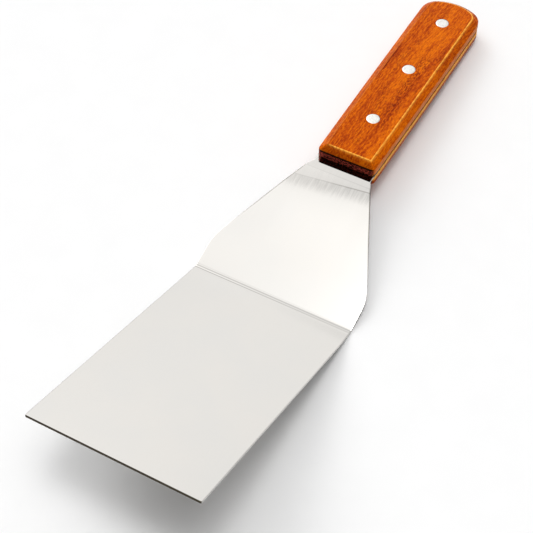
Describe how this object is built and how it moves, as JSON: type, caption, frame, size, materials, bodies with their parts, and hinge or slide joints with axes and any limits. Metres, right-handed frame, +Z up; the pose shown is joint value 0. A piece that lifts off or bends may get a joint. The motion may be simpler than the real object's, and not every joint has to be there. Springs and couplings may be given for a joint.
{
  "type": "grill spatula",
  "caption": "Offset grill spatula: flat rectangular steel blade, rising tapered neck and a riveted bevelled wooden handle.",
  "frame": {"origin": "on the table, under the middle of the bounding box, with the spatula lying at rest on its heel and its handle's butt", "axes": "+Z up from the table; +Y from the blade's front edge towards the handle's butt; X across the blade, which is symmetrical about X = 0"},
  "size_m": [0.0762, 0.3102, 0.0493],
  "materials": {
    "blade_steel": "fine satin, hairlines along the blade",
    "handle_wood": "orange-brown stained hardwood under satin varnish",
    "rivet_metal": "flush ground"
  },
  "bodies": {
    "root": {"turner_blade": "blade_steel", "upper_handle_scale": "handle_wood", "lower_handle_scale": "handle_wood", "front_rivet_male": "rivet_metal", "front_rivet_female": "rivet_metal", "middle_rivet_male": "rivet_metal", "middle_rivet_female": "rivet_metal", "rear_rivet_male": "rivet_metal", "rear_rivet_female": "rivet_metal"}
  },
  "joints": []
}
